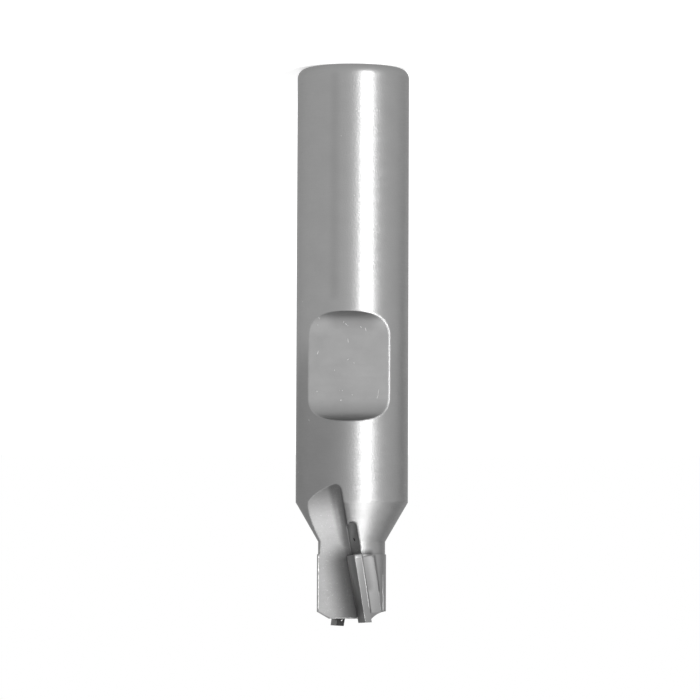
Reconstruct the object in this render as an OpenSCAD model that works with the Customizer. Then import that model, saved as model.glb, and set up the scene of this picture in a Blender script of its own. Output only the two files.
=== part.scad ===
// Straight router bit with two brazed cutting tips, standing on the end of its shank.
// Lengths are in millimetres and angles in degrees.
// The flat on the shank faces -Y, and the axis is Z with the cutting end up.

/* [Shank] */
// Diameter of the shank
shank_d = 16; // [13:0.5:20]
// Length of the shank, from its end to the shoulder
shank_len = 62.1; // [56:0.1:75]
// Radius that rounds the rim of the shank's end
shank_end_r = 1.4; // [0.3:0.1:2]

/* [Clamping flat] */
// Depth of the flat below the round of the shank
flat_depth = 2.5; // [1.5:0.1:3.2]
// Distance from the end of the shank to the flat
flat_start = 35.2; // [20:0.1:38]
// Length of the flat over its rounded ends
flat_len = 15.6; // [11:0.1:18]
// Radius left by the milling cutter at both ends of the flat
flat_end_r = 3.6; // [3.3:0.1:5]

/* [Neck and head] */
// Diameter of the neck
neck_d = 9.55; // [8.5:0.05:11]
// Angle between the shoulder's cone and the axis
shoulder_angle = 30; // [25:1:45]
// Length of the neck between the cone and the head
neck_len = 1.8; // [1:0.1:4]
// Amount by which the head is thicker than the neck
head_step = 0.3; // [0.1:0.05:0.8]
// Length of the steel head
head_len = 9.15; // [8:0.05:14]
// Width of the bevel around the head's end, across the radius
head_bevel = 1.7; // [0.8:0.1:2]
// Slope of that bevel, from the end face
head_bevel_angle = 30; // [15:1:45]
// Turn of the cutting tips about the axis, from the middle of the flat
head_turn = 5.2; // [-90:0.1:90]

/* [Flutes] */
// Distance of the flute's floor from the plane through the axis
flute_floor = 1.4; // [1:0.05:1.8]
// Lean of the flutes and tips, so that the edges cut with a slight slice
lean = 10; // [0:0.5:12]
// Radius of the cutter that runs out at the end of the flute
flute_runout_r = 11; // [9:0.1:15]
// Start of the run-out, before the head (negative) or after it
flute_runout_at = -0.2; // [-2:0.1:2]
// Radius between the floor and the wall of the flute
flute_corner_r = 1; // [0.4:0.1:1.5]
// Place where the wall of the flute crosses the axis, before the head
flute_wall_at = 0.8; // [0:0.1:3]

/* [Cutting tips] */
// Diameter of the circle that the cutting edges run on
cutting_d = 10.35; // [10.2:0.05:11.5]
// Thickness of a tip
tip_thk = 1.1; // [0.8:0.05:1.5]
// Length of the rear tip, which reaches a little further than the front one
tip_len = 10.05; // [9.5:0.05:15]
// Amount by which the front tip was ground shorter
front_tip_short = 0.45; // [0:0.05:0.8]
// Start of the tips, after the start of the head
tip_inset = 0.2; // [0:0.05:0.5]
// Angle of the rake face to the line of sight along its floor
rake = 16; // [8:1:20]
// Offset of the rake face from the axis at the middle of the tip
rake_offset = -0.2; // [-0.5:0.05:0.3]
// Distance from the axis to the tip's inner end
tip_inner = 1.3; // [1.1:0.05:1.6]
// Clearance angle behind the cutting edge
clearance = 18; // [10:1:24]
// Radius of the ground back of the edge
flank_r = 10; // [6:1:20]
// Slope of the tip's end behind the end cutting edge
end_relief = 3; // [0:0.5:8]

/* [Seat and land] */
// Thickness of the solder between tip and body
solder_gap = 0.1; // [0.05:0.01:0.15]
// Width of the slot that runs out of the seat into the shoulder
slot_w = 1.35; // [1:0.05:1.6]
// Length of that slot, before the head
slot_len = 4.5; // [2:0.1:5]
// Place of the slot's middle, across the axis at the start of the head
slot_at = 0.7; // [0.5:0.05:0.8]
// Depth of the land behind the tip, below the round of the head
land_depth = 0.25; // [0.15:0.05:0.5]
// Start of the land, after the start of the tip
land_inset = 0.55; // [0.1:0.05:1]
// Angle of the land behind the cutting edge
land_lag = 20; // [16:1:26]
// Width of the land behind the seat
land_w = 1.75; // [1.2:0.05:2.2]
// Radius at the corner of the land next to the neck
land_corner_r = 0.45; // [0.2:0.05:0.8]
// Radius of the land across its width
land_r = 12; // [8:1:20]

/* [Grinding of the front end] */
// Radius of the wheel that relieved the body behind the front tip
end_wheel_r = 3.2; // [2:0.1:4]
// Distance of the wheel's middle from the axis
end_wheel_out = 5.3; // [5.2:0.1:6]
// Distance of the wheel's middle beyond the end of the body
end_wheel_past = 2.1; // [1.9:0.1:2.6]

/* [Hidden] */
$fn = 96;

// Reach of a cutting shape past the body
past = 14;
shank_r = shank_d / 2;
neck_r = neck_d / 2;
head_r = neck_r + head_step / 2;
cutting_r = cutting_d / 2;
cone_end = shank_len + (shank_r - neck_r) / tan(shoulder_angle);
head_start = cone_end + neck_len;
body_len = head_start + head_len;
tip_start = head_start + tip_inset;
rear_tip_end = tip_start + tip_len;
front_tip_end = rear_tip_end - front_tip_short;
// Middle of the tip's stretch, where the rake offset is measured
tip_mid = (tip_start + front_tip_end) / 2;
// Back of the seat and floor of the seat, in the seat's own frame
seat_x = rake_offset + tip_thk + solder_gap;
seat_floor = tip_inner - solder_gap;
// Depth that the flute's cutter needs to clear the round of the shank
flute_depth = shank_r - flute_floor + 0.2;
// Room cleared in front of the rake face, above the floor of the flute
seat_clearing = 0.3;
// Where the rake face meets the floor of the flute
rake_foot = (flute_floor + sin(rake) * rake_offset) / cos(rake);

// Point of the cutting edge at height z, as [across, outward]
edge_slope = tan(rake) / cos(lean);
function rake_across(z) = rake_offset / (cos(rake) * cos(lean)) + (z - tip_mid) * tan(lean);
function edge_out(z) =
    let (a = rake_across(z), b = edge_slope)
    (-a * b + sqrt(cutting_r * cutting_r * (1 + b * b) - a * a)) / (1 + b * b);
function edge_across(z) = rake_across(z) + edge_slope * edge_out(z);
// Direction of the cutting edge from the axis, from straight outward
function edge_angle(z) = atan2(edge_across(z), edge_out(z));

// Axis point of a ground surface of radius r that passes at distance d from the axis, in direction a
function wheel_axis(a, d, r, z) = [(d - r) * sin(a), (d - r) * cos(a), z];
// The same for a surface through the cutting edge, turned by the clearance
function flank_axis(z) = [
    edge_across(z) - flank_r * sin(edge_angle(z) + clearance),
    edge_out(z) - flank_r * cos(edge_angle(z) + clearance),
    z
];
function land_axis(z) = wheel_axis(edge_angle(z) + land_lag, head_r - land_depth, land_r, z);

// Features are drawn with Y outward and X across, and turned to the front (0) or the rear (1)
module at_side(side) {
    rotate([0, 0, 180 * (side + 1) - head_turn]) children();
}

// Frame that leans with the flutes, with its origin on the axis at height z
module leaning(z) {
    translate([0, 0, z]) rotate([0, lean, 0]) children();
}

// Frame of the seat: X square to the rake face, Y along it outward, Z along the tip
module seat_frame() {
    leaning(tip_mid) rotate([0, 0, -rake]) children();
}

// Round bar of radius r along the line through p and q, reaching past both
module bar_through(r, p, q) {
    d = q - p;
    translate(p)
        rotate([0, acos(d[2] / norm(d)), atan2(d[1], d[0])])
        translate([0, 0, -past])
        cylinder(r = r, h = norm(d) + 2 * past);
}

// Shank, shoulder, neck and head as one turned piece
module turned_blank() {
    rotate_extrude() {
        translate([shank_r - shank_end_r, shank_end_r]) circle(r = shank_end_r);
        polygon([
            [0, 0],
            [shank_r - shank_end_r, 0],
            [shank_r - shank_end_r, shank_end_r],
            [shank_r, shank_end_r],
            [shank_r, shank_len],
            [neck_r, cone_end],
            [neck_r, head_start],
            [head_r, head_start],
            [head_r, body_len - head_bevel * tan(head_bevel_angle)],
            [head_r - head_bevel, body_len],
            [0, body_len]
        ]);
    }
}

// Space above the clamping flat, rounded at both ends
module flat_cutter() {
    low = flat_start + sqrt(pow(flat_end_r, 2) - pow(flat_end_r - flat_depth, 2));
    high = 2 * flat_start + flat_len - low;
    floor_at = shank_r - flat_depth;
    translate([-past, -floor_at - flat_end_r, 0])
        rotate([90, 0, 90])
        linear_extrude(2 * past) {
            for (z = [low, high]) translate([0, z]) circle(r = flat_end_r);
            translate([-past, low]) square([past + flat_end_r, high - low]);
            translate([-past, low - flat_end_r]) square([past, high - low + 2 * flat_end_r]);
        }
}

// Section of the flute with its floor at y = 0 and its wall at x = 0
module flute_section(depth) {
    translate([-past, 0]) square([past - flute_corner_r, depth]);
    translate([-past, flute_corner_r]) square([past, depth - flute_corner_r]);
    translate([-flute_corner_r, flute_corner_r]) circle(r = flute_corner_r);
}

// Flute: straight along the head, and run out in an arc towards the shank
module flute_cutter() {
    leaning(head_start - flute_wall_at)
        translate([0, flute_floor, flute_wall_at + flute_runout_at]) {
            linear_extrude(past + head_len) flute_section(past);
            translate([0, flute_runout_r, 0])
                rotate([0, 90, 0])
                rotate_extrude()
                translate([flute_runout_r, 0])
                rotate(90)
                flute_section(flute_depth);
        }
}

// Seat of a tip
module seat_cutter() {
    seat_frame()
        translate([0, 0, tip_start - tip_mid])
        linear_extrude(tip_len + past)
        polygon([
            [rake_offset, seat_floor],
            [seat_x, seat_floor],
            [seat_x, past],
            [rake_offset - seat_clearing, past],
            [rake_offset - seat_clearing, rake_foot],
            [rake_offset, rake_foot]
        ]);
}

// Slot with a round end that runs out of the seat into the shoulder
module slot_cutter() {
    slot_r = slot_w / 2;
    leaning(head_start)
        translate([slot_at, past, slot_r - slot_len])
        rotate([90, 0, 0])
        linear_extrude(past - flute_floor) {
            circle(r = slot_r);
            translate([-slot_r, 0]) square([slot_w, slot_len - slot_r + tip_inset]);
        }
}

// What is ground off behind the tip, down to the land
module land_cutter() {
    difference() {
        seat_frame()
            translate([seat_x - solder_gap, past, tip_start + land_inset - tip_mid])
            rotate([90, 0, 0])
            linear_extrude(past)
            land_outline(land_w + solder_gap, head_len + past);
        bar_through(land_r, land_axis(tip_start), land_axis(front_tip_end));
    }
}

// Outline of the land, rounded at the corner next to the neck and away from the tip
module land_outline(width, height) {
    square([width - land_corner_r, height]);
    translate([0, land_corner_r]) square([width, height]);
    translate([width - land_corner_r, land_corner_r]) circle(r = land_corner_r);
}

// Hollow that the wheel left behind the front tip when that tip was ground to length
module end_wheel() {
    translate([end_wheel_out, 0, body_len + end_wheel_past])
        rotate([90, 0, 0])
        cylinder(r = end_wheel_r, h = 2 * past, center = true);
}

// The steel tool: turned, then milled and ground
module tool_body() {
    color("silver")
        difference() {
            turned_blank();
            flat_cutter();
            for (side = [0, 1])
                at_side(side) {
                    flute_cutter();
                    seat_cutter();
                    slot_cutter();
                    land_cutter();
                }
            at_side(0) end_wheel();
        }
}

// Cutting tip that ends at height z_end, ground on its back and its end
module tip(z_end) {
    intersection() {
        seat_frame()
            translate([rake_offset, tip_inner, tip_start - tip_mid])
            cube([tip_thk, past, tip_len + past]);
        bar_through(flank_r, flank_axis(tip_start), flank_axis(front_tip_end));
        translate([0, 0, z_end])
            rotate([0, end_relief, 0])
            translate([-past, -past, -past - tip_len])
            cube([2 * past, 2 * past, past + tip_len]);
    }
}

// Solder behind the tip and under its inner end, out to the round of the head
module solder() {
    intersection() {
        turned_blank();
        seat_frame()
            translate([0, 0, tip_start - tip_mid])
            linear_extrude(tip_len + past)
            polygon([
                [rake_offset, seat_floor],
                [seat_x, seat_floor],
                [seat_x, past],
                [seat_x - solder_gap, past],
                [seat_x - solder_gap, tip_inner],
                [rake_offset, tip_inner]
            ]);
    }
}

module front_tip() { color("dimgray") at_side(0) tip(front_tip_end); }
module rear_tip() { color("dimgray") at_side(1) tip(rear_tip_end); }
module front_solder() { color("gainsboro") at_side(0) solder(); }
module rear_solder() { color("gainsboro") at_side(1) solder(); }

tool_body();
front_tip();
rear_tip();
front_solder();
rear_solder();
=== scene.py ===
import math
import bpy
import bmesh
import numpy as np
from mathutils import Matrix, Vector
from mathutils.bvhtree import BVHTree


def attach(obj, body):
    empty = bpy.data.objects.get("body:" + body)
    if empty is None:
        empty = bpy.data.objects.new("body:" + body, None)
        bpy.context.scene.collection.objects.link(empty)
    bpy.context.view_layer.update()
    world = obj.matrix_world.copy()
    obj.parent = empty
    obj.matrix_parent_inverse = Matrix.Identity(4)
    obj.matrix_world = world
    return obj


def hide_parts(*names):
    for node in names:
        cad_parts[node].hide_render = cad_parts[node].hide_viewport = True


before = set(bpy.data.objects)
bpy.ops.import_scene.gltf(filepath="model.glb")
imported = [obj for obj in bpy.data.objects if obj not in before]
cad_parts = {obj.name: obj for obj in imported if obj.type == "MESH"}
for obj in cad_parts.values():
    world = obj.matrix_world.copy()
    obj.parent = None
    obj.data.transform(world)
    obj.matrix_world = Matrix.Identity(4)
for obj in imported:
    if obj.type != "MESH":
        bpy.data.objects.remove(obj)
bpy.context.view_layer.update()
print("frame loaded:", ", ".join(sorted(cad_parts)))

mm = 0.001
rng = np.random.default_rng(16)

# Sizes of the tool in millimetres, the same as the solid model's
tool = {
    "shankR": 8.0, "shankLen": 62.1, "shankEndR": 1.4,
    "flatDepth": 2.5, "flatStart": 35.2, "flatLen": 15.6, "flatEndR": 3.6,
    "neckR": 4.775, "shoulderAngle": 30.0, "neckLen": 1.8, "headR": 4.925, "headLen": 9.15,
    "headBevel": 1.7, "headBevelAngle": 30.0, "headTurn": 5.2,
    "fluteFloor": 1.4, "lean": 10.0, "runoutR": 11.0, "runoutAt": -0.2, "fluteCornerR": 1.0, "wallAt": 0.8,
    "cuttingR": 5.175, "tipThk": 1.1, "tipLen": 10.05, "frontShort": 0.45, "tipInset": 0.2,
    "rake": 16.0, "rakeOffset": -0.2, "tipInner": 1.3, "clearance": 18.0, "flankR": 10.0,
    "solderGap": 0.1, "slotW": 1.35, "slotLen": 4.5, "slotAt": 0.7,
    "landDepth": 0.25, "landInset": 0.55, "landLag": 20.0, "landW": 1.75, "landCornerR": 0.45, "landR": 12.0,
    "endWheelR": 3.2, "endWheelOut": 5.3, "endWheelPast": 2.1,
}
coneEnd = tool["shankLen"] + (tool["shankR"] - tool["neckR"]) / math.tan(math.radians(tool["shoulderAngle"]))
headStart = coneEnd + tool["neckLen"]
bodyLen = headStart + tool["headLen"]
tipStart = headStart + tool["tipInset"]
frontTipEnd = tipStart + tool["tipLen"] - tool["frontShort"]
tipMid = (tipStart + frontTipEnd) / 2
seatX = tool["rakeOffset"] + tool["tipThk"] + tool["solderGap"]

# The camera stands where the photograph was taken from, turned over so that the head points down
photo = {
    "towards": -95.2,    # direction of the camera from the tool, degrees from +X
    "elevation": 3.46, "distance": 634.0, "aimZ": 40.3,
    "focal": 4438.0,     # in pixels of the 700 pixel frame
    "roll": 0.226,       # the photograph leans a little
    "axisX": 2.35, "axisY": -0.1,   # pixels from the middle of the frame to the aimed point
    "frame": 700.0, "sensor": 36.0,   # width of the frame in pixels, and of the sensor in mm
}
towards, elevation, roll = (math.radians(photo[key]) for key in ("towards", "elevation", "roll"))
toCamera = Vector((math.cos(towards), math.sin(towards), 0))
pictureRight = Vector((math.sin(towards), -math.cos(towards), 0))
zUp = Vector((0, 0, 1))
back = toCamera * math.cos(elevation) + zUp * math.sin(elevation)
right = pictureRight
up = back.cross(right)
cameraAt = (zUp * photo["aimZ"] + back * photo["distance"]) * mm
# turn the view so that the aimed point falls where the photograph has it
back = (back + right * photo["axisX"] / photo["focal"] - up * photo["axisY"] / photo["focal"]).normalized()
right = (right - back * right.dot(back)).normalized()
up = back.cross(right)
right, up = right * math.cos(roll) + up * math.sin(roll), up * math.cos(roll) - right * math.sin(roll)
cameraData = bpy.data.cameras.new("camera")
cameraData.sensor_width = photo["sensor"]
cameraData.lens = photo["focal"] / photo["frame"] * photo["sensor"]
cameraData.clip_start, cameraData.clip_end = 0.05, 20    # metres
camera = bpy.data.objects.new("camera", cameraData)
bpy.context.scene.collection.objects.link(camera)
camera.matrix_world = Matrix.Translation(cameraAt) @ Matrix((right, up, back)).transposed().to_4x4()
bpy.context.scene.camera = camera
print("camera set")


# Frames of the cutting features, as 4 by 4 matrices: side 0 is the front and 1 the rear, drawn with
# Y outward and X across
def turnAbout(axis, degrees):  # a turn about an axis through the frame's own zero
    return np.array(Matrix.Rotation(math.radians(degrees), 4, axis))


def shift(x, y, z):  # a move along the frame's own axes
    return np.array(Matrix.Translation((x, y, z)))


def atSide(side):  # upright, turned to the side
    return turnAbout("Z", 180 * (side + 1) - tool["headTurn"])


def leaning(side, z):  # the same at height z, with Z along the leaning flute
    return atSide(side) @ shift(0, 0, z) @ turnAbout("Y", tool["lean"])


def seatFrame(side):  # X square to the rake face, Y along it outward, Z along the tip
    return leaning(side, tipMid) @ turnAbout("Z", -tool["rake"])


def moved(m, points):  # points taken from frame m to the tool
    return np.atleast_2d(points) @ m[:3, :3].T + m[:3, 3]


# Cutting edge at height z, as (across, outward): the rake plane, across = start + slope * out, meets
# the circle, across^2 + out^2 = radius^2
def edgePoint(z):
    rake, lean = math.radians(tool["rake"]), math.radians(tool["lean"])
    start = tool["rakeOffset"] / (math.cos(rake) * math.cos(lean)) + (z - tipMid) * math.tan(lean)
    slope = math.tan(rake) / math.cos(lean)
    root = math.sqrt(tool["cuttingR"] ** 2 * (1 + slope * slope) - start * start)
    out = (root - start * slope) / (1 + slope * slope)
    return start + slope * out, out


# Axis point of the round back of the edge: flankR in from the edge, along the way out from the tool's
# axis turned on by the clearance
def flankAxis(z):
    x, y = edgePoint(z)
    turn = math.atan2(x, y) + math.radians(tool["clearance"])
    return np.array([x - tool["flankR"] * math.sin(turn), y - tool["flankR"] * math.cos(turn), z])


# Axis point of the round face of the land: landR in from the land's own radius, landLag behind the edge
def landAxis(z):
    x, y = edgePoint(z)
    turn = math.atan2(x, y) + math.radians(tool["landLag"])
    away = tool["headR"] - tool["landDepth"] - tool["landR"]
    return np.array([away * math.sin(turn), away * math.cos(turn), z])


# Every face of the tool is a piece of a cone, a plane, a bar or a ring. These give, for an array of
# points, the distance from that surface and its direction there: for a cone or plane, the step along
# its own direction, and for a bar or ring, the distance from its axis less the radius.
def coneFace(z0, r0, z1, r1):  # round the tool's axis, from radius r0 at height z0 to r1 at z1
    length = math.hypot(z1 - z0, r1 - r0)

    def look(p):
        r = np.hypot(p[:, 0], p[:, 1])
        off = np.abs(((r - r0) * (z1 - z0) - (p[:, 2] - z0) * (r1 - r0)) / length)
        beyond = np.maximum(np.maximum(z0 - p[:, 2], p[:, 2] - z1), 0)
        side = p[:, :2] / np.maximum(r, 1e-9)[:, None] * (z1 - z0) / length
        return off + beyond, np.column_stack([side, np.full(len(p), (r0 - r1) / length)])
    return look


def planeFace(m, point, way, halfWidth=None):  # with a half width, only that far to either side in X
    start = moved(m, point)[0]
    way = m[:3, :3] @ np.asarray(way, float)

    def look(p):
        off = np.abs((p - start) @ way)
        if halfWidth:
            off = off + np.maximum(np.abs((p - start) @ m[:3, 0]) - halfWidth, 0)
        return off, np.tile(way, (len(p), 1))
    return look


def barFace(m, point, axis, radius):  # round a straight axis through the point
    start = moved(m, point)[0]
    along = m[:3, :3] @ np.asarray(axis, float)
    along /= np.linalg.norm(along)

    def look(p):
        q = p - start
        q = q - (q @ along)[:, None] * along
        d = np.linalg.norm(q, axis=1)
        return np.abs(d - radius), q / np.maximum(d, 1e-9)[:, None]
    return look


def ringFace(m, centre, axis, ringR, radius):  # a bar of this radius, bent to a ring of ringR
    start = moved(m, centre)[0]
    along = m[:3, :3] @ np.asarray(axis, float)

    def look(p):
        q = p - start
        flat = q - (q @ along)[:, None] * along
        ring = flat / np.maximum(np.linalg.norm(flat, axis=1), 1e-9)[:, None] * ringR
        q = q - ring
        d = np.linalg.norm(q, axis=1)
        return np.abs(d - radius), q / np.maximum(d, 1e-9)[:, None]
    return look


# The faces of the body by how they were made. A flute is a floor and a wall with a round corner
# between them, swept up along a wheel's path at its end.
def bodyFaces():
    bevelRise = tool["headBevel"] * math.tan(math.radians(tool["headBevelAngle"]))
    turned = [
        ringFace(np.eye(4), (0, 0, tool["shankEndR"]), (0, 0, 1), tool["shankR"] - tool["shankEndR"],
                 tool["shankEndR"]),
        coneFace(tool["shankEndR"], tool["shankR"], tool["shankLen"], tool["shankR"]),
        coneFace(tool["shankLen"], tool["shankR"], coneEnd, tool["neckR"]),
        coneFace(coneEnd, tool["neckR"], headStart, tool["neckR"]),
        coneFace(headStart, tool["headR"], bodyLen - bevelRise, tool["headR"]),
        coneFace(bodyLen - bevelRise, tool["headR"], bodyLen, tool["headR"] - tool["headBevel"]),
    ]
    endR = tool["flatEndR"]
    low = tool["flatStart"] + math.sqrt(endR ** 2 - (endR - tool["flatDepth"]) ** 2)
    high = 2 * tool["flatStart"] + tool["flatLen"] - low
    flatY = tool["flatDepth"] - tool["shankR"] - endR
    milled = [barFace(np.eye(4), (0, flatY, z), (1, 0, 0), endR) for z in (low, high)]
    fluted, slotted, relief = [], [], []
    for side in (0, 1):
        flute = leaning(side, headStart - tool["wallAt"])
        flute = flute @ shift(0, tool["fluteFloor"], tool["wallAt"] + tool["runoutAt"])
        corner, wheel = tool["fluteCornerR"], tool["runoutR"]
        fluted += [
            planeFace(flute, (0, 0, 0), (0, 1, 0)),
            planeFace(flute, (0, 0, 0), (-1, 0, 0)),
            barFace(flute, (-corner, corner, 0), (0, 0, 1), corner),
            barFace(flute, (0, wheel, 0), (1, 0, 0), wheel),
            ringFace(flute, (-corner, wheel, 0), (1, 0, 0), wheel - corner, corner),
            planeFace(seatFrame(side), (tool["rakeOffset"], 0, 0), (-1, 0, 0)),
        ]
        slot, half = leaning(side, headStart), tool["slotW"] / 2
        past = 1.6    # the floor's triangles reach this many times its half width
        slotted += [
            barFace(slot, (tool["slotAt"], 0, half - tool["slotLen"]), (0, 1, 0), half),
            planeFace(slot, (tool["slotAt"] - half, 0, 0), (1, 0, 0)),
            planeFace(slot, (tool["slotAt"] + half, 0, 0), (-1, 0, 0)),
            planeFace(slot, (tool["slotAt"], tool["fluteFloor"], 0), (0, 1, 0), half * past),
        ]
        start, end = landAxis(tipStart), landAxis(frontTipEnd)
        relief.append(barFace(atSide(side), start, end - start, tool["landR"]))
        cornerX = seatX + tool["landW"] - tool["landCornerR"]
        cornerZ = tipStart + tool["landInset"] - tipMid + tool["landCornerR"]
        relief.append(barFace(seatFrame(side), (cornerX, 0, cornerZ), (0, 1, 0), tool["landCornerR"]))
    relief.append(barFace(atSide(0), (tool["endWheelOut"], 0, bodyLen + tool["endWheelPast"]),
                          (0, 1, 0), tool["endWheelR"]))
    return turned, milled, fluted, slotted, relief


# A merged copy of a solid. groups is a list of (material, faces), and the first material also takes
# what lies on none of them. A triangle's corners get the normals of the face that all three lie on,
# where that is within offLimit mm and its direction agrees with the triangle's.
def dressed(name, newName, groups):
    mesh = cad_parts[name].data.copy()
    mesh.name = newName
    mesh.materials.clear()
    bm = bmesh.new()
    bm.from_mesh(mesh)
    bmesh.ops.remove_doubles(bm, verts=bm.verts, dist=1e-7)
    bm.to_mesh(mesh)
    bm.free()
    for material, _ in groups:
        mesh.materials.append(material)
    count = len(mesh.polygons)
    co = np.empty(len(mesh.vertices) * 3)
    mesh.vertices.foreach_get("co", co)
    co = co.reshape(-1, 3) / mm
    loops = np.empty(len(mesh.loops), int)
    mesh.loops.foreach_get("vertex_index", loops)
    tri = loops.reshape(count, 3)
    flat = np.cross(co[tri[:, 1]] - co[tri[:, 0]], co[tri[:, 2]] - co[tri[:, 0]])
    flat /= np.maximum(np.linalg.norm(flat, axis=1), 1e-12)[:, None]
    flatCorners = np.repeat(flat, 3, axis=0)
    normals = flatCorners.copy()
    offLimit, leastAgree = 0.004, 0.8
    best = np.full(count, offLimit)
    slots = np.zeros(count, np.int32)
    corners = co[tri.ravel()]
    for index, (_, faces) in enumerate(groups):
        for look in faces:
            off, way = look(corners)
            far = off.reshape(count, 3).max(axis=1)
            way *= np.sign(np.einsum("ij,ij->i", way, flatCorners))[:, None]
            agree = np.einsum("ij,ij->i", way, flatCorners).reshape(count, 3).min(axis=1)
            take = (far < best) & (agree > leastAgree)
            best[take] = far[take]
            slots[take] = index
            normals[np.repeat(take, 3)] = way[np.repeat(take, 3)]
    mesh.polygons.foreach_set("use_smooth", np.ones(count, bool))
    mesh.polygons.foreach_set("material_index", slots)
    mesh.normals_split_custom_set(normals)
    mesh.update()
    piece = bpy.data.objects.new(newName, mesh)
    bpy.context.scene.collection.objects.link(piece)
    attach(piece, "root")
    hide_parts(name)
    print(newName, count, "faces,", int((best < offLimit).sum()), "matched")
    return piece


# The skin of the whole tool, in mm, to lay small things on
skinPoints, skinFaces = [], []
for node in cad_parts.values():
    skinFaces += [[v + len(skinPoints) for v in p.vertices] for p in node.data.polygons]
    skinPoints += [v.co / mm for v in node.data.vertices]
skin = BVHTree.FromPolygons(skinPoints, skinFaces)


def onSkin(starts, way):  # where rays from the starts along one way first meet the tool, and the normals
    hits = [skin.ray_cast(Vector(s), Vector(way)) for s in np.atleast_2d(starts)]
    return np.array([h[0] for h in hits]), np.array([h[1] for h in hits])


wayOff = 20.0    # mm from the axis, where rays towards the tool start


def inPicture(places):  # points of the tool that the photograph shows at (mm right of the axis, height)
    starts = [pictureRight * x + toCamera * wayOff + zUp * z for x, z in places]
    return onSkin(starts, -toCamera)


def unit(v):  # over its own length
    return v / np.linalg.norm(v, axis=-1, keepdims=True)


# A closed mesh from a grid of points in mm: rows by columns, closed round each row. Rows that shrink
# to a point become poles. points may hold several grids, one after the other.
def gridPiece(name, points, material):
    count, rows, cols = points.shape[:3]
    r, c = np.meshgrid(np.arange(rows - 1) * cols, np.arange(cols), indexing="ij")
    n = (c + 1) % cols
    quads = np.stack([r + c, r + n, r + cols + n, r + cols + c], axis=-1).reshape(-1, 4)
    faces = (quads[None] + (np.arange(count) * rows * cols)[:, None, None]).reshape(-1, 4)
    mesh = bpy.data.meshes.new(name)
    mesh.from_pydata((points.reshape(-1, 3) * mm).tolist(), [], faces.tolist())
    bm = bmesh.new()
    bm.from_mesh(mesh)
    bmesh.ops.remove_doubles(bm, verts=bm.verts, dist=1e-8)
    bmesh.ops.recalc_face_normals(bm, faces=bm.faces)
    bm.to_mesh(mesh)
    bm.free()
    mesh.polygons.foreach_set("use_smooth", np.ones(len(mesh.polygons), bool))
    mesh.materials.append(material)
    piece = bpy.data.objects.new(name, mesh)
    bpy.context.scene.collection.objects.link(piece)
    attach(piece, "root")
    print(name, len(mesh.polygons), "faces")
    return piece


# A bead along a path: point(u, v) = path(u) + across(u) w(u) cos v + up(u) h(u) sin v
def bead(path, ups, halfWidth, halfHeight, sides=10):
    ups = unit(ups)
    across = unit(np.cross(unit(np.gradient(path, axis=0)), ups))
    v = np.linspace(0, 2 * np.pi, sides, endpoint=False)[None, :, None]
    return (path[:, None] + across[:, None] * np.cos(v) * np.asarray(halfWidth)[:, None, None]
            + ups[:, None] * np.sin(v) * np.asarray(halfHeight)[:, None, None])


# Pebbles: point(u, v) = centre + along a cos u + across b sin u cos v + up c sin u sin v
def pebbles(centres, ups, alongs, sizes, rows=7, sides=8):
    ups = unit(ups)
    across = unit(np.cross(ups, alongs))
    alongs = np.cross(across, ups)
    u, v = np.meshgrid(np.linspace(0, np.pi, rows), np.linspace(0, 2 * np.pi, sides, endpoint=False),
                       indexing="ij")
    shape = [np.cos(u), np.sin(u) * np.cos(v), np.sin(u) * np.sin(v)]
    points = np.repeat(np.repeat(centres[:, None, None], rows, axis=1), sides, axis=2)
    for axis, part, size in zip((alongs, across, ups), shape, sizes.T):
        points = points + axis[:, None, None] * part[None, :, :, None] * size[:, None, None, None]
    return points


# A random line through knots between low and high. Over the last few points, it runs down to 0 as the
# root of the distance from the end.
def ragged(count, knots, low, high):
    runDown = 3    # points
    level = np.interp(np.linspace(0, knots - 1, count), np.arange(knots), rng.uniform(low, high, knots))
    ends = np.minimum(np.arange(count), np.arange(count)[::-1]) / runDown
    return level * np.sqrt(np.minimum(ends, 1))


def colour(code):  # sRGB hex to linear
    channels = [int(code[i:i + 2], 16) / 255 for i in (1, 3, 5)]
    return [c / 12.92 if c <= 0.04045 else ((c + 0.055) / 1.055) ** 2.4 for c in channels] + [1.0]


# Adds a node, sets its properties, and sets or links its inputs by name, or by index as _0, _1, ...
def addNode(tree, kind, settings=None, **inputs):
    node = tree.nodes.new(kind)
    for key, value in (settings or {}).items():
        setattr(node, key, value)
    for key, value in inputs.items():
        key = int(key[1:]) if key[0] == "_" and key[1:].isdigit() else key.replace("_", " ")
        if isinstance(value, bpy.types.NodeSocket):
            tree.links.new(value, node.inputs[key])
        else:
            node.inputs[key].default_value = value
    return node


def newMaterial(name):  # one without nodes, and its tree
    material = bpy.data.materials.new(name)
    material.use_nodes = True
    material.node_tree.nodes.clear()
    return material, material.node_tree


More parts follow.
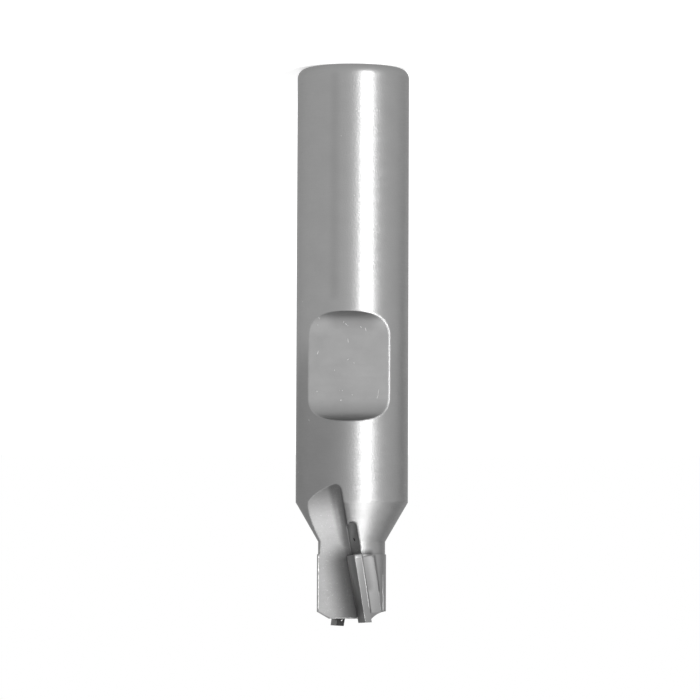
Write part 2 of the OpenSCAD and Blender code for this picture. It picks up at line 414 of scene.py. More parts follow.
# How dark a tinted line leaves a place: the distance from the line piece a to b, from full to end,
# gives a share of the tone from depth to 1. A line with through reaches all the way along that
# direction, so its distance is measured square to it.
def tintAt(tree, place, line):
    a, b = Vector(line["a"]), Vector(line["b"])
    if "through" in line:
        through = Vector(line["through"])
        a, b = a - through * a.dot(through), b - through * b.dot(through)
        deep = addNode(tree, "ShaderNodeVectorMath", {"operation": "DOT_PRODUCT"}, _0=place,
                       _1=through).outputs[1]
        deep = addNode(tree, "ShaderNodeVectorMath", {"operation": "SCALE"}, _0=through,
                       Scale=deep).outputs[0]
        place = addNode(tree, "ShaderNodeVectorMath", {"operation": "SUBTRACT"}, _0=place,
                        _1=deep).outputs[0]
    along = (b - a).normalized()
    gone = addNode(tree, "ShaderNodeVectorMath", {"operation": "SUBTRACT"}, _0=place, _1=a).outputs[0]
    run = addNode(tree, "ShaderNodeVectorMath", {"operation": "DOT_PRODUCT"}, _0=gone, _1=along).outputs[1]
    run = addNode(tree, "ShaderNodeClamp", None, Value=run, Min=0.0, Max=(b - a).length).outputs[0]
    foot = addNode(tree, "ShaderNodeVectorMath", {"operation": "SCALE"}, _0=along, Scale=run).outputs[0]
    away = addNode(tree, "ShaderNodeVectorMath", {"operation": "DISTANCE"}, _0=gone, _1=foot).outputs[1]
    return addNode(tree, "ShaderNodeMapRange", {"interpolation_type": "SMOOTHSTEP"}, Value=away,
                   From_Min=line["full"], From_Max=line["end"], To_Min=line["depth"], To_Max=1.0).outputs[0]


# What every metal here shares. Lengths are in mm. The marks are drawn coarser than real grinding or
# turning marks, so that they show.
plainMetal = {
    "rim": "#D0D0D0", "cloudPitch": 2.86,    # tone seen edge-on, and size of the clouds in the tone
    "roughness": 0.4, "roughSpread": 0.05, "anisotropy": 0.0,
    "roughRise": 0.0, "roughFrom": 42.0, "roughTo": 56.0,    # added roughness, between two heights
    "markPitch": 0.3, "markStretch": (0.3, 0.3, 1.0), "markHeight": 0.003, "wobble": 0.0,
    "grain": 0.2, "grainHeight": 0.004,
    "speck": 0.0, "speckTone": "#E4E4E4", "speckFrom": 0.64, "speckTo": 0.76,    # pale grains
    "edge": 0.12, "edgeHead": None,         # rounding of the edges, and where it is another on the head
    "cornerShade": 0.7, "cornerShadeReach": 0.4, "open": 0.95, "shut": 0.35,    # painted shade: the tone left in a corner that is shut in
    "paintedShade": 1.0, "paintedShadeFrom": 38.0, "paintedShadeTo": 59.0, "paintedShadeHead": 1.0,    # painted shade: the tone left towards the head
    "tints": (),
}


# A metal from its look. Noise gives its marks, grain and clouds. The tone is multiplied by the least of
# its tints, mostly painted shade, by the painted shade towards the head, and by the painted shade in its
# corners.
def metal(name, look):
    look = {**plainMetal, **look}
    material, tree = newMaterial(name)
    place = addNode(tree, "ShaderNodeTexCoord").outputs["Object"]
    inMm = addNode(tree, "ShaderNodeVectorMath", {"operation": "SCALE"}, _0=place, Scale=1 / mm).outputs[0]
    drawn = addNode(tree, "ShaderNodeVectorMath", {"operation": "MULTIPLY"}, _0=inMm,
                    _1=look["markStretch"]).outputs[0]
    marks = addNode(tree, "ShaderNodeTexNoise", None, Vector=drawn, Scale=1 / look["markPitch"],
                    Detail=3.0, Roughness=0.6).outputs["Fac"]
    grain = addNode(tree, "ShaderNodeTexNoise", None, Vector=inMm, Scale=1 / look["grain"],
                    Detail=2.0, Roughness=0.5).outputs["Fac"]
    cloud = addNode(tree, "ShaderNodeTexNoise", None, Vector=inMm, Scale=1 / look["cloudPitch"],
                    Detail=3.0).outputs["Fac"]
    height = addNode(tree, "ShaderNodeSeparateXYZ", None, Vector=inMm).outputs["Z"]

    # colour: two tones in clouds, pale grains, and shares of the tone left by painted shade, in corners and
    # along lines, and by the flux in the seams
    tone = addNode(tree, "ShaderNodeMix", {"data_type": "RGBA"}, Factor=cloud,
                   _6=colour(look["dark"]), _7=colour(look["base"])).outputs[2]
    if look["speck"]:
        speck = addNode(tree, "ShaderNodeMapRange", None, Value=grain, From_Min=look["speckFrom"],
                        From_Max=look["speckTo"], To_Min=0.0, To_Max=look["speck"]).outputs[0]
        tone = addNode(tree, "ShaderNodeMix", {"data_type": "RGBA"}, Factor=speck, _6=tone,
                       _7=colour(look["speckTone"])).outputs[2]
    shares = [tintAt(tree, inMm, line) for line in look["tints"]]
    while len(shares) > 1:
        shares.append(addNode(tree, "ShaderNodeMath", {"operation": "MINIMUM"}, _0=shares.pop(0),
                              _1=shares.pop(0)).outputs[0])
    # painted shade: darker towards the head between two heights, and again from the head's step on
    if look["paintedShade"] < 1:
        step = 0.1    # the head is darker from its step on
        paintedShadeHead = look["paintedShadeHead"] / look["paintedShade"]
        for low, high, left in ((look["paintedShadeFrom"], look["paintedShadeTo"], look["paintedShade"]),
                                (headStart - step, headStart + step, paintedShadeHead)):
            shares.append(addNode(tree, "ShaderNodeMapRange", None, Value=height, From_Min=low,
                                  From_Max=high, To_Min=1.0, To_Max=left).outputs[0])
    # painted shade in corners: the tone falls where ambient occlusion finds the corner shut in
    corner = addNode(tree, "ShaderNodeAmbientOcclusion", {"samples": 6},
                     Distance=look["cornerShadeReach"] * mm).outputs["AO"]
    shares.append(addNode(tree, "ShaderNodeMapRange", None, Value=corner, From_Min=look["shut"],
                          From_Max=look["open"], To_Min=look["cornerShade"], To_Max=1.0).outputs[0])
    for share in shares:
        tone = addNode(tree, "ShaderNodeVectorMath", {"operation": "SCALE"}, _0=tone, Scale=share).outputs[0]

    # roughness: a little different in each mark, and rising towards the head
    least, most = 0.25, 0.75    # the noise of the marks mostly lies between these
    rough = addNode(tree, "ShaderNodeMapRange", None, Value=marks, From_Min=least, From_Max=most,
                    To_Min=look["roughness"] - look["roughSpread"],
                    To_Max=look["roughness"] + look["roughSpread"]).outputs[0]
    if look["roughRise"]:
        more = addNode(tree, "ShaderNodeMapRange", None, Value=height, From_Min=look["roughFrom"],
                       From_Max=look["roughTo"], To_Min=0.0, To_Max=look["roughRise"]).outputs[0]
        rough = addNode(tree, "ShaderNodeMath", {"operation": "ADD"}, _0=rough, _1=more).outputs[0]

    # relief: rounded edges, marks that tip the surface, and bumps
    rounding = look["edge"] * mm
    if look["edgeHead"]:
        low, high = headStart - 1.0, headStart - 0.5    # it changes just below the head
        rounding = addNode(tree, "ShaderNodeMapRange", None, Value=height, From_Min=low, From_Max=high,
                           To_Min=look["edge"] * mm, To_Max=look["edgeHead"] * mm).outputs[0]
    normal = addNode(tree, "ShaderNodeBevel", {"samples": 8}, Radius=rounding).outputs[0]
    around = addNode(tree, "ShaderNodeVectorMath", {"operation": "CROSS_PRODUCT"}, _0=(0, 0, 1),
                     _1=place).outputs[0]
    around = addNode(tree, "ShaderNodeVectorMath", {"operation": "NORMALIZE"}, _0=around).outputs[0]
    if look["wobble"]:  # each mark tips a little sideways, which frays the edges of a highlight
        tip = addNode(tree, "ShaderNodeMapRange", None, Value=marks, From_Min=least, From_Max=most,
                      To_Min=-look["wobble"], To_Max=look["wobble"]).outputs[0]
        tip = addNode(tree, "ShaderNodeVectorMath", {"operation": "SCALE"}, _0=around, Scale=tip).outputs[0]
        normal = addNode(tree, "ShaderNodeVectorMath", {"operation": "ADD"}, _0=normal, _1=tip).outputs[0]
        normal = addNode(tree, "ShaderNodeVectorMath", {"operation": "NORMALIZE"}, _0=normal).outputs[0]
    for relief, depth in ((marks, look["markHeight"]), (grain, look["grainHeight"])):
        normal = addNode(tree, "ShaderNodeBump", None, Strength=1.0, Distance=depth * mm, Height=relief,
                         Normal=normal).outputs[0]
    shader = addNode(tree, "ShaderNodeBsdfPrincipled", None, Base_Color=tone, Metallic=1.0,
                     Roughness=rough, Normal=normal, Specular_Tint=colour(look["rim"]))
    if look["anisotropy"]:  # a quarter turn draws the highlight out along the tool
        shader.inputs["Anisotropic"].default_value = look["anisotropy"]
        shader.inputs["Anisotropic Rotation"].default_value = 0.25
        tree.links.new(around, shader.inputs["Tangent"])
    addNode(tree, "ShaderNodeOutputMaterial", None, Surface=shader.outputs[0])
    return material


# Tinted lines, in mm, mostly painted shade: full, end and depth are as in tintAt, and the rest says
# where the line runs in the frame of its seat or flute, as the loop below reads it
tints = {
    # painted shadow beside each tip, and painted shade along the wall of each flute below the head and at
    # the deep end of the slot at the head
    "foot": {"from": 1.3, "full": 0.9, "end": 4.2, "depth": 0.31},
    "wall": {"down": (10.0, 1.0), "in": (0.85, 0.4), "full": 0.4, "end": 1.15, "depth": 0.62},
    "slot": {"up": 0.2, "across": (-0.6, 0.6), "full": 0.1, "end": 2.0, "depth": 0.42},
    # painted shade at the step round each land, along its far edge and across its lower end, and at the
    # head's step
    "land": {"from": 0.3, "to": 5.0, "full": 0.05, "end": 0.55, "depth": 0.45},
    "landEnd": {"in": 0.1, "full": 0.05, "end": 0.3, "depth": 0.45},
    "step": {"from": 1.5, "to": 2.6, "down": 0.05, "full": 0.0, "end": 0.85, "depth": 0.42},
    # painted shadow behind each seam, the dark flux in the seam itself, and painted shade at the lower end
    # of each tip's round back
    "seam": {"beside": 0.05, "from": 0.6, "to": 4.2, "full": 0.2, "end": 1.25, "depth": 0.66},
    "seamLine": {"from": 0.1, "short": 0.6, "full": 0.06, "end": 0.24, "depth": 0.6},
    "back": {"in": 0.1, "inSeat": 0.2, "up": 0.01, "full": 0.1, "end": 0.24, "depth": 0.3},
    # painted shadow where each tip leaves the body
    "stub": {"out": 5.0, "full": 0.1, "end": 0.28, "depth": 0.3},
    # the rake face of each tip: darker in a wide and a narrow band at its end, and along its edge
    "rakeEndWide": {"out": (1.0, 5.0), "full": 1.5, "end": 9.0, "depth": 0.36},
    "rakeEnd": {"full": 0.1, "end": 3.2, "depth": 0.24},
    "rakeEdge": {"out": 5.0, "full": 0.2, "end": 3.6, "depth": 0.46},
    # these run between two places of the photograph, as (mm right of the axis, height): painted shade on
    # one side of the shank, a dark painted reflection down the shank, darker on the cone between flute and
    # slot, and painted shade at the flat's start
    "paintedShade": {"places": ((-5.6, 47.0), (-5.6, 63.5)), "full": 3.0, "end": 9.0, "depth": 0.77},
    "paintedReflection": {"places": ((-2.6, 2.0), (-2.6, 33.0)), "full": 0.0, "end": 1.15, "depth": 0.91},
    "cone": {"places": ((-0.9, 62.7), (-0.5, 64.6)), "full": 0.2, "end": 0.9, "depth": 0.66},
    "flat": {"places": ((-2.0, 36.5), (2.0, 36.5)), "full": 0.2, "end": 2.4, "depth": 0.78},
}
clearOut = 9.0    # mm outward of the axis, where rays towards the head start


def tinted(kind, ends, **more):  # a tint along the line between two points of the tool
    return {**tints[kind], "a": ends[0], "b": ends[1], **more}


def inward(m, x, z):  # where rays inward along Y of frame m first meet the tool, and the normals
    return onSkin(moved(m, np.column_stack([x, np.full(len(x), clearOut), z])), -m[:3, 1])


def tintedSkin(kind, m, x, z, **more):  # a tint between two points of the skin, at x and z of frame m
    return tinted(kind, inward(m, x, z)[0], **more)


def tintedPlaces(kind):  # a tint between its two places of the photograph
    return tinted(kind, inPicture(tints[kind]["places"])[0])


rakeTurn = math.radians(tool["rake"])
rakeX, tipInner = tool["rakeOffset"], tool["tipInner"]
rakeFoot = (tool["fluteFloor"] + math.sin(rakeTurn) * rakeX) / math.cos(rakeTurn)
tipBase, tipTop, bodyTop = tipStart - tipMid, frontTipEnd - tipMid, bodyLen - tipMid
landBase, landX = tipBase + tool["landInset"], seatX + tool["landW"]
groundTints = [tintedPlaces("paintedShade"), tintedPlaces("paintedReflection"), tintedPlaces("cone")]
fluteTints, slotTints, reliefTints, backTints, stubTints, rakeTints = [], [], [], [], [], []
for side in (0, 1):
    seat, upright, flute = seatFrame(side), atSide(side), leaning(side, headStart)
    line = tints["foot"]
    ends = [(rakeX, rakeFoot, tipBase + line["from"]), (rakeX, rakeFoot, tipTop)]
    fluteTints.append(tinted("foot", moved(seat, ends)))
    line = tints["wall"]
    ends = [(-x, 0, -z) for x, z in zip(line["in"], line["down"])]
    fluteTints.append(tinted("wall", moved(flute, ends), through=flute[:3, 1]))
    line = tints["slot"]
    ends = [(tool["slotAt"] + x, tool["fluteFloor"], line["up"]) for x in line["across"]]
    slotTints.append(tinted("slot", moved(flute, ends)))

    line = tints["land"]
    z = (landBase + line["from"], landBase + line["to"])
    groundTints.append(tintedSkin("land", seat, (landX, landX), z))
    x = (seatX + tints["landEnd"]["in"], landX - tool["landCornerR"])
    groundTints.append(tintedSkin("landEnd", seat, x, (landBase, landBase)))
    line = tints["step"]
    z = headStart - line["down"]
    groundTints.append(tintedSkin("step", upright, (line["from"], line["to"]), (z, z)))

    line = tints["seam"]
    x = seatX + line["beside"]
    reliefTints.append(tintedSkin("seam", seat, (x, x), (landBase + line["from"], landBase + line["to"])))
    line = tints["seamLine"]
    z = (landBase + line["from"], tipTop - line["short"])
    reliefTints.append(tintedSkin("seamLine", seat, (seatX, seatX), z, through=seat[:3, 1]))

    line = tints["back"]
    x, z = (rakeX + line["in"], seatX - line["inSeat"]), tipBase + line["up"]
    backTints.append(tintedSkin("back", seat, x, (z, z)))
    for x, out in ((rakeX, tipInner), (seatX, tints["stub"]["out"])):
        ends = [(seatX - tool["solderGap"], tipInner, bodyTop), (x, out, bodyTop)]
        stubTints.append(tinted("stub", moved(seat, ends)))
    ends = moved(seat, [(rakeX, out, tipTop) for out in tints["rakeEndWide"]["out"]])
    rakeTints += [tinted("rakeEndWide", ends), tinted("rakeEnd", ends)]
    ends = [(rakeX, tints["rakeEdge"]["out"], z) for z in (tipBase, tipTop)]
    rakeTints.append(tinted("rakeEdge", moved(seat, ends)))

# Ground tool steel: fine marks run round the tool, so highlights are drawn out along it. Shade is
# painted towards the head end, which is a little darker, and at the steps round each land and the head.
groundSteel = metal("ground tool steel", {
    "base": "#989898", "dark": "#909090", "roughness": 0.39, "roughSpread": 0.06, "anisotropy": 0.35,
    "roughRise": 0.06, "markStretch": (0.12, 0.12, 1.0), "markPitch": 0.2, "markHeight": 0.002,
    "wobble": 0.02, "grainHeight": 0.02, "edge": 0.45, "edgeHead": 0.08, "paintedShade": 0.92, "paintedShadeHead": 0.95,
    "tints": groundTints,
})
# Milled tool steel: the flat keeps the marks of a fine cutter, with painted shade at its start
milledSteel = metal("milled tool steel", {
    "base": "#969696", "dark": "#888888", "roughness": 0.42, "roughSpread": 0.03, "markHeight": 0.002,
    "markPitch": 0.35, "markStretch": (0.1, 0.1, 1.0), "edge": 0.45, "tints": [tintedPlaces("flat")],
})
# Hardened steel as the flutes have it: pale, grainy and nearly without gloss, with painted shadow beside
# the foot of each tip and painted shade along each wall
fluteLook = {
    "base": "#929292", "dark": "#868686", "roughness": 0.52, "markPitch": 0.4, "markHeight": 0.004,
    "grainHeight": 0.012, "edge": 0.35, "edgeHead": 0.2, "speck": 0.26, "cornerShade": 0.97, "cornerShadeReach": 0.3,
    "tints": fluteTints,
}
fluteSteel = metal("flute tool steel", fluteLook)
# The slot's copy of the flute steel is painted paler, as painted light in its deep recess
slotSteel = metal("slot tool steel", {
    **fluteLook, "base": "#BABABA", "dark": "#AEAEAE", "edge": 0.1, "edgeHead": None,
    "speck": 0.0, "cornerShade": 1.0, "tints": slotTints,
})
# Relief ground steel: an even, satin face behind each edge, with painted shadow behind the seam
reliefSteel = metal("relief ground tool steel", {
    "base": "#929292", "dark": "#888888", "roughness": 0.55, "edge": 0.08, "tints": reliefTints,
})
# Cemented carbide: dark, even and finely ground, with painted shade at the lower end of the round back
carbide = metal("cemented carbide", {
    "base": "#8E8E8E", "dark": "#848484", "markStretch": (0.12, 0.12, 1.0), "markHeight": 0.001,
    "grain": 0.15, "grainHeight": 0.002, "edge": 0.04, "tints": backTints,
})
# The rake face is honed and silky, painted paler than the other carbide as painted light, and darker towards
# its end
honedCarbide = metal("honed carbide", {
    "base": "#D8D8D8", "dark": "#CCCCCC", "roughness": 0.45, "markHeight": 0.001, "grain": 0.15,
    "grainHeight": 0.002, "edge": 0.04, "cornerShade": 1.0, "tints": rakeTints,
})
# Carbide as it was sintered, dull and slightly rough, on the faces that the wheel never touches
# painted shadow where each tip leaves the body, and strong painted shade in its corners
sinteredLook = {
    "base": "#828282", "dark": "#6E6E6E", "roughness": 0.6, "markHeight": 0.004, "grainHeight": 0.006,
    "edge": 0.04, "cornerShade": 0.4, "cornerShadeReach": 0.6, "tints": stubTints,
}
sinteredCarbide = metal("sintered carbide", sinteredLook)
# The same, painted nearly black as the shade on the inner end of each tip
shadedCarbide = metal("shaded carbide", {**sinteredLook, "base": "#3A3A3A", "dark": "#242424"})
# Silver solder: bright, soft and uneven where it ran out, and dark with flux inside the joint
jointSolder = metal("silver solder in the joint", {
    "base": "#5A5A5A", "dark": "#444444", "roughness": 0.5, "edge": 0.03,
})
silverSolder = metal("silver solder", {
    "base": "#CACACA", "dark": "#8C8C8C", "roughness": 0.35, "markPitch": 0.5, "markStretch": (1, 1, 1),
    "markHeight": 0.01, "grain": 0.25, "grainHeight": 0.02, "edge": 0.03,
})
# Bright steel: painted highlights along edges and on the head, and fresh metal where the tool was knocked
brightSteel = metal("bright tool steel", {
    "base": "#D8D8D8", "dark": "#B8B8B8", "roughness": 0.35, "rim": "#FFFFFF", "grain": 0.1,
    "grainHeight": 0.004, "edge": 0.02,
})
print("materials made")

turnedFaces, milledFaces, fluteFaces, slotFaces, reliefFaces = bodyFaces()
body = dressed("tool_body", "steel_body",
               [(milledSteel, milledFaces), (groundSteel, turnedFaces), (slotSteel, slotFaces),
                (fluteSteel, fluteFaces), (reliefSteel, reliefFaces)])
for side, name in enumerate(("front_tip", "rear_tip")):
    seat, start, end = seatFrame(side), flankAxis(tipStart), flankAxis(frontTipEnd)
    ground = [barFace(atSide(side), start, end - start, tool["flankR"])]
    sintered = [planeFace(seat, (rakeX + tool["tipThk"], 0, 0), (1, 0, 0)),
                planeFace(seat, (0, 0, tipBase), (0, 0, -1))]
    shaded = [planeFace(seat, (0, tipInner, 0), (0, -1, 0))]
    honed = [planeFace(seat, (rakeX, 0, 0), (-1, 0, 0))]
    piece = dressed(name, name + "_ground", [(carbide, ground), (honedCarbide, honed),
                                             (sinteredCarbide, sintered), (shadedCarbide, shaded)])
for name in ("front_solder", "rear_solder"):
    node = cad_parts[name]
    node.data.materials.clear()
    node.data.materials.append(jointSolder)
print("body and tips dressed")

# Solder that ran out of the joint: a ragged bead along the seam behind each tip, two short ones across
# the lower end of the tip, and drops along the foot of the rake face
seam = {"points": 110, "from": 0.45, "short": 1.0, "inside": 0.22, "stray": 0.015,    # where it runs
        "knots": 48, "width": (0.01, 0.055), "least": 0.022,
        "heightKnots": 20, "heightShare": (0.5, 1), "height": 0.014,
        "thinStart": 0.35, "thinUpTo": 0.25}    # share of the width at its start, and how far it stays thin
cap = {"rows": ((0.4, 0.05), (0.52, 0.09)), "height": 0.025,    # each row as (mm up the tip, half width)
       "points": 24, "inset": 0.12, "knots": 8, "share": (0.7, 1)}
drops = {"count": 7, "size": (0.03, 0.06), "long": 1.3, "high": 0.5,    # length and height over the width
         "offFoot": (0.02, 0.5), "from": 0.5, "short": 2.5}
for side, name in enumerate(("front", "rear")):
    seat = seatFrame(side)
    count = seam["points"]
    z = np.linspace(tipStart + seam["from"], bodyLen - seam["short"], count) - tipMid
    x = seatX - seam["inside"] + rng.uniform(-seam["stray"], seam["stray"], count)
    path, _ = inward(seat, x, z)
    grow = np.interp(np.linspace(0, 1, count), (0, seam["thinUpTo"], 1), (seam["thinStart"], 1, 1))
    width = np.maximum(ragged(count, seam["knots"], *seam["width"]), seam["least"]) * grow
    height = ragged(count, seam["heightKnots"], *seam["heightShare"]) * seam["height"]
    line = bead(path, np.tile(seat[:3, 1], (count, 1)), width, height)
    gridPiece(name + "_seam_solder", line[None], silverSolder)
    count = cap["points"]
    x = np.linspace(rakeX + cap["inset"], seatX - cap["inset"], count)
    rows = []
    for rise, width in cap["rows"]:
        path, normals = inward(seat, x, np.full(count, tipBase + rise))
        rows.append(bead(path, normals, ragged(count, cap["knots"], *cap["share"]) * width,
                         ragged(count, cap["knots"], *cap["share"]) * cap["height"]))
    gridPiece(name + "_cap_solder", np.array(rows), silverSolder)
    count = drops["count"]
    z = rng.uniform(tipStart + drops["from"], frontTipEnd - drops["short"], count) - tipMid
    y = rakeFoot + rng.uniform(*drops["offFoot"], count)
    feet = moved(seat, np.column_stack([np.full(count, rakeX), y, z]))
    size = rng.uniform(*drops["size"], count)
    size = np.column_stack([size * drops["long"], size, size * drops["high"]])
    points = pebbles(feet, np.tile(-seat[:3, 0], (count, 1)), np.tile(seat[:3, 2], (count, 1)), size)
    gridPiece(name + "_solder_drops", points, silverSolder)


def pictureDrop(name, drop, material):  # one pebble where the photograph shows it, at its lean
    place, normal = inPicture([drop["at"]])
    along = np.array(zUp) + math.tan(math.radians(drop["lean"])) * np.array(pictureRight)
    gridPiece(name, pebbles(place, normal, along[None], np.array([drop["size"]])), material)


# One larger drop clings to the inner corner of the rear tip, below the body
rearDrop = {"at": (-1.33, 78.83), "size": (0.24, 0.08, 0.05), "lean": -58}
pictureDrop("rear_drop", rearDrop, silverSolder)

# Bright lines, painted highlights: each cutting edge, the outer edge and the end edge of each flute, and
# one streak on the head
edgeLine = {"points": 60, "start": 0.1, "short": 0.12, "width": 0.05, "height": 0.015,
            "knots": 30, "share": (0.7, 1), "worn": 0.5}    # worn: share of the width left at its end
fluteEdge = {"points": 90, "start": 0.1, "short": 1.2, "knots": 45, "size": (0.025, 0.075)}
endEdge = {"points": 50, "from": -2.75, "to": 1.0, "down": 0.1, "knots": 25, "size": (0.02, 0.045)}
streak = {"points": 30, "from": (4.46, 72.2), "to": (4.52, 77.6), "width": (0.02, 0.3), "height": 0.01,
          "knots": 12, "widthShare": (0.85, 1), "heightShare": (0.8, 1)}
floorAt = tool["fluteFloor"]
for side, name in enumerate(("front", "rear")):
    upright, count = atSide(side), edgeLine["points"]
    end = frontTipEnd + side * tool["frontShort"]
    z = np.linspace(tipStart + edgeLine["start"], end - edgeLine["short"], count)
    path = moved(upright, [(*edgePoint(height), height) for height in z])
    share = ragged(count, edgeLine["knots"], *edgeLine["share"]) * np.linspace(1, edgeLine["worn"], count)
    line = bead(path, path * (1, 1, 0), share * edgeLine["width"], share * edgeLine["height"])
    gridPiece(name + "_cutting_edge", line[None], brightSteel)
    count = fluteEdge["points"]
    z = np.linspace(headStart + fluteEdge["start"], bodyLen - fluteEdge["short"], count)
    out = math.sqrt(tool["headR"] ** 2 - floorAt ** 2) - fluteEdge["size"][0]
    path = moved(upright, np.column_stack([np.full(count, -out), np.full(count, floorAt), z]))
    size = ragged(count, fluteEdge["knots"], *fluteEdge["size"])
    line = bead(path, path * (1, 1, 0), size, size)
    gridPiece(name + "_flute_edge", line[None], brightSteel)
    count = endEdge["points"]
    x = np.linspace(endEdge["from"], endEdge["to"], count)
    path = moved(upright, [(across, floorAt, bodyLen - endEdge["down"]) for across in x])
    size = ragged(count, endEdge["knots"], *endEdge["size"])
    line = bead(path, np.tile(upright[:3, 1], (count, 1)), size, size)
    gridPiece(name + "_end_edge", line[None], brightSteel)
count = streak["points"]
path, normals = inPicture(np.linspace(streak["from"], streak["to"], count))
width = np.linspace(*streak["width"], count) * ragged(count, streak["knots"], *streak["widthShare"])
height = ragged(count, streak["knots"], *streak["heightShare"]) * streak["height"]
gridPiece("head_painted_highlight", bead(path, normals, width, height)[None], brightSteel)

# Small knocks on the flat and the shank, where the photograph has them, as (mm right of the axis,
# height, half length, lean from the axis in degrees), with others on the sides that it doesn't show
knocks = {
    "seen": [(1.86, 37.7, 0.36, 14), (1.2, 37.4, 0.14, 30), (-1.25, 36.7, 0.16, -20), (-0.9, 37.0, 0.18, 40),
             (-0.65, 37.2, 0.1, 0), (-4.7, 36.2, 0.2, 20), (-4.9, 37.1, 0.1, 0), (-0.62, 39.3, 0.3, 8),
             (-4.9, 41.0, 0.3, -17), (-0.62, 42.0, 0.2, -45), (-2.5, 43.5, 0.09, 0), (-1.75, 46.4, 0.12, 60),
             (-1.4, 46.4, 0.1, -30), (-1.58, 47.7, 0.2, -27), (3.72, 46.6, 0.45, -8), (3.6, 47.3, 0.3, -22),
             (-5.0, 46.5, 0.09, 10), (0.0, 47.0, 0.1, 20), (0.23, 42.5, 0.12, 35),
             (0.4, 6.7, 0.1, 0), (0.2, 18.9, 0.12, 50), (-1.7, 10.4, 0.1, 20), (-7.1, 33.7, 0.12, 0),
             (-6.1, 50.6, 0.15, 40), (7.6, 59.6, 0.1, 0)],
    "unseen": 14, "unseenTurn": (60, 300), "unseenZ": (4, 60), "offSide": 0.1,
    "length": (0.08, 0.25), "width": (0.02, 0.04), "height": 0.008,
}
seen = np.array(knocks["seen"])
places, normals = inPicture(seen[:, :2])
leans = np.radians(seen[:, 3:])
alongs = np.cos(leans) * np.array(zUp) + np.sin(leans) * np.array(pictureRight)
# the others keep off the four sides by offSide radians: there they would stand out of the tool's box
count = knocks["unseen"]
turns = np.radians(rng.uniform(*knocks["unseenTurn"], count)) + math.atan2(toCamera.y, toCamera.x)
quarter = np.pi / 2
turns = (turns // quarter * quarter + knocks["offSide"]
         + (turns % quarter) * (1 - 2 * knocks["offSide"] / quarter))
heights = rng.uniform(*knocks["unseenZ"], count)
unseen = [onSkin((wayOff * math.cos(turn), wayOff * math.sin(turn), height),
                 (-math.cos(turn), -math.sin(turn), 0)) for turn, height in zip(turns, heights)]
places = np.vstack([places] + [place for place, _ in unseen])
normals = np.vstack([normals] + [normal for _, normal in unseen])
alongs = np.vstack([alongs, rng.normal(size=(count, 3))])
lengths = np.append(seen[:, 2], rng.uniform(*knocks["length"], count))
widths = rng.uniform(*knocks["width"], len(places))
size = np.column_stack([lengths, widths, np.full(len(places), knocks["height"])])
gridPiece("knocks", pebbles(places, normals, alongs, size), brightSteel)

# A dark speck in the slot of the front seat: painted shade of a small pit
pitShade = {"at": (0.38, 67.4), "size": (0.26, 0.09, 0.015), "lean": 24}
pictureDrop("slot_pit_shade", pitShade, shadedCarbide)
print("small pieces made")

# A tall strip beside the camera, which the shank mirrors as its long highlight, and a soft lamp high up
lamps = {
    # name: (degrees from the camera to picture right, degrees up, distance, height of the middle,
    #        width, height, watts), lengths in metres
    "strip": (28.6, 0, 0.55, 0.30, 0.17, 1.1, 5.8),
    "high": (43, 57, 0.6, 0.06, 0.3, 0.26, 0.85),
}
for name, (azimuth, angle, distance, middle, width, tall, watts) in lamps.items():
    turn, lift = math.radians(azimuth), math.radians(angle)
    way = toCamera * math.cos(turn) + pictureRight * math.sin(turn)
    way = way * math.cos(lift) + zUp * math.sin(lift)
    data = bpy.data.lights.new(name, "AREA")
    data.shape = "RECTANGLE"
    data.size, data.size_y, data.energy = width, tall, watts
    lamp = bpy.data.objects.new(name, data)
    bpy.context.scene.collection.objects.link(lamp)
    lamp.location = way * distance + zUp * middle
    lamp.rotation_mode = "QUATERNION"
    lamp.rotation_quaternion = way.to_track_quat("Z", "Y")


# A dark card on the right, which the side of the tool mirrors as a soft shade
flag = {"azimuth": 122, "distance": 0.6, "width": 0.2, "tall": 1.2, "tone": "#707070"}
turn = math.radians(flag["azimuth"])
way = toCamera * math.cos(turn) + pictureRight * math.sin(turn)
acrossWay = way.cross(zUp)
corners = [way * flag["distance"] + acrossWay * x * flag["width"] / 2 + zUp * z * flag["tall"]
           for x, z in ((-1, 0.0), (1, 0.0), (1, 1.0), (-1, 1.0))]
mesh = bpy.data.meshes.new("flag")
mesh.from_pydata([c[:] for c in corners], [], [(0, 1, 2, 3)])
flagCard = bpy.data.objects.new("flag", mesh)
bpy.context.scene.collection.objects.link(flagCard)
material, tree = newMaterial("dark card")
shade = addNode(tree, "ShaderNodeEmission", None, Color=colour(flag["tone"]), Strength=1.0)
addNode(tree, "ShaderNodeOutputMaterial", None, Surface=shade.outputs[0])
mesh.materials.append(material)
flagCard.visible_camera = False
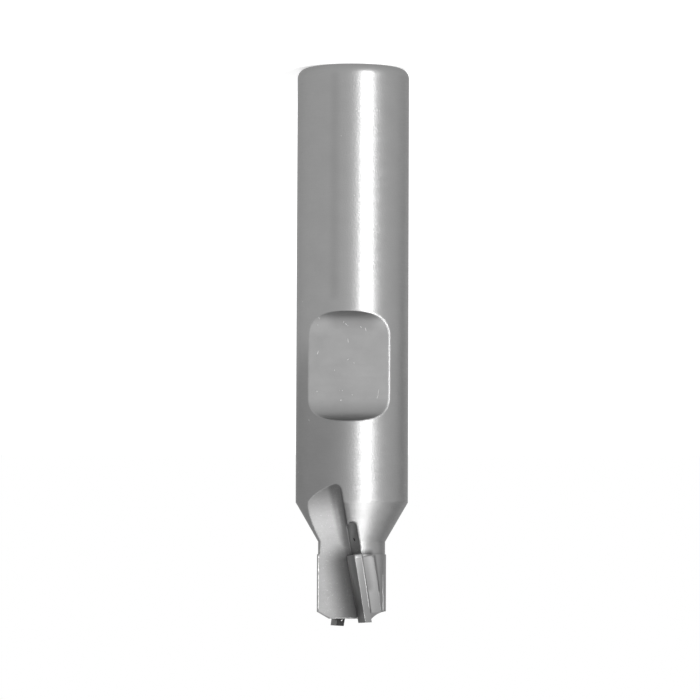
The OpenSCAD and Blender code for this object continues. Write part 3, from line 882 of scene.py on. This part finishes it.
flagCard.visible_shadow = False


def seenDirectly(tree):  # 1 for what the camera, a mirror or a glass sees, 0 for plain light
    path = addNode(tree, "ShaderNodeLightPath").outputs
    seen = addNode(tree, "ShaderNodeMath", {"operation": "MAXIMUM"}, _0=path["Is Camera Ray"],
                   _1=path["Is Glossy Ray"]).outputs[0]
    return addNode(tree, "ShaderNodeMath", {"operation": "MAXIMUM"}, _0=seen,
                   _1=path["Is Transmission Ray"]).outputs[0]


# A white room: 1 where it is seen or mirrored, a little less as plain light
studio = {"light": 0.75, "floorGlow": 0.475, "floorSize": 3.0}
scene = bpy.context.scene
scene.view_settings.view_transform = "Standard"
world = bpy.data.worlds.new("studio")
scene.world = world
world.use_nodes = True
tree = world.node_tree
tree.nodes.clear()
level = addNode(tree, "ShaderNodeMapRange", None, Value=seenDirectly(tree), To_Min=studio["light"],
                To_Max=1.0).outputs[0]
sky = addNode(tree, "ShaderNodeBackground", None, Color=(1, 1, 1, 1), Strength=level)
addNode(tree, "ShaderNodeOutputWorld", None, Surface=sky.outputs[0])

# Floor: white card, which shows white wherever nothing shades it
mesh = bpy.data.meshes.new("floor")
half = studio["floorSize"] / 2
mesh.from_pydata([(-half, -half, 0), (half, -half, 0), (half, half, 0), (-half, half, 0)], [],
                 [(0, 1, 2, 3)])
floor = bpy.data.objects.new("floor", mesh)
scene.collection.objects.link(floor)
material, tree = newMaterial("white card")
glow = addNode(tree, "ShaderNodeMath", {"operation": "MULTIPLY"}, _0=seenDirectly(tree),
               _1=studio["floorGlow"]).outputs[0]
card = addNode(tree, "ShaderNodeBsdfPrincipled", None, Base_Color=colour("#F0F0F0"), Roughness=0.9,
               Emission_Color=(1, 1, 1, 1), Emission_Strength=glow)
card.inputs["Specular IOR Level"].default_value = 0.0
addNode(tree, "ShaderNodeOutputMaterial", None, Surface=card.outputs[0])
mesh.materials.append(material)
# the floor neither mirrors in the steel nor stops the strip lamp, which reaches below it
floor.visible_glossy = False
floor.visible_shadow = False
print("stage and light set")
